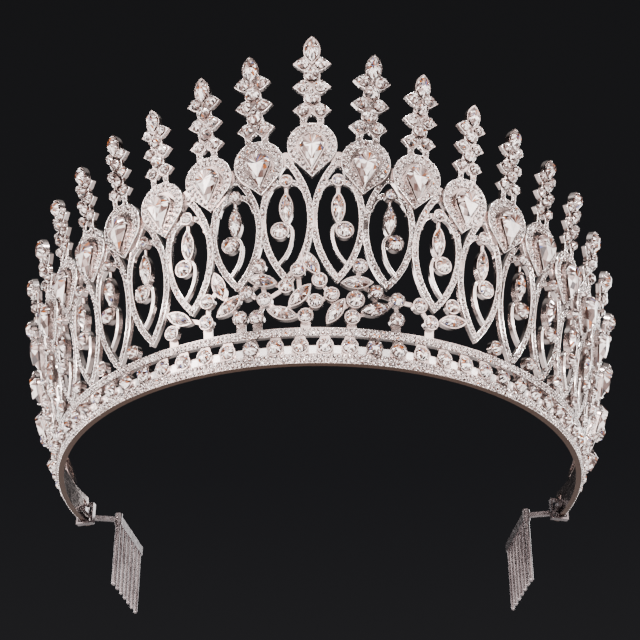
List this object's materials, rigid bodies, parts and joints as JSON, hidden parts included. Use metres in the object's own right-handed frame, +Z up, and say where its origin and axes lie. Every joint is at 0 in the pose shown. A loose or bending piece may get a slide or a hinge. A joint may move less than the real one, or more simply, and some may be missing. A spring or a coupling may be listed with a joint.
{
  "type": "pageant crown",
  "caption": "Open silver-coloured pageant crown of pierced ovals, pear-stone medallions and tall leaf spikes on a stone-set band, with a hair comb wired to each end.",
  "frame": {"origin": "centre of the band's circle, level with the band's lower edge, where the crown sits on the head", "axes": "+Z up along the crown's height, -Y towards the crown's front, +X towards the right of someone who faces the crown"},
  "size_m": [0.1916, 0.1507, 0.1199],
  "materials": {
    "plated_metal": "bright silver plating over cast alloy",
    "stone": "faceted, foil backed",
    "comb_wire": "satin"
  },
  "bodies": {
    "root": {"crown_frame": "plated_metal", "band_stones": "stone", "oval_marquises": "stone", "oval_rounds": "stone", "oval_top_stones": "stone", "tip_stones": "stone", "spray_marquises": "stone", "spray_rounds": "stone", "pear_stone_left_11": "stone", "pear_stone_left_10": "stone", "pear_stone_left_9": "stone", "pear_stone_left_8": "stone", "pear_stone_left_7": "stone", "pear_stone_left_6": "stone", "pear_stone_left_5": "stone", "pear_stone_left_4": "stone", "pear_stone_left_3": "stone", "pear_stone_left_2": "stone", "pear_stone_left_1": "stone", "pear_stone_front": "stone", "pear_stone_right_1": "stone", "pear_stone_right_2": "stone", "pear_stone_right_3": "stone", "pear_stone_right_4": "stone", "pear_stone_right_5": "stone", "pear_stone_right_6": "stone", "pear_stone_right_7": "stone", "pear_stone_right_8": "stone", "pear_stone_right_9": "stone", "pear_stone_right_10": "stone", "pear_stone_right_11": "stone", "comb_left": "comb_wire", "comb_right": "comb_wire", "comb_tie_left": "comb_wire", "comb_tie_right": "comb_wire"}
  },
  "joints": []
}
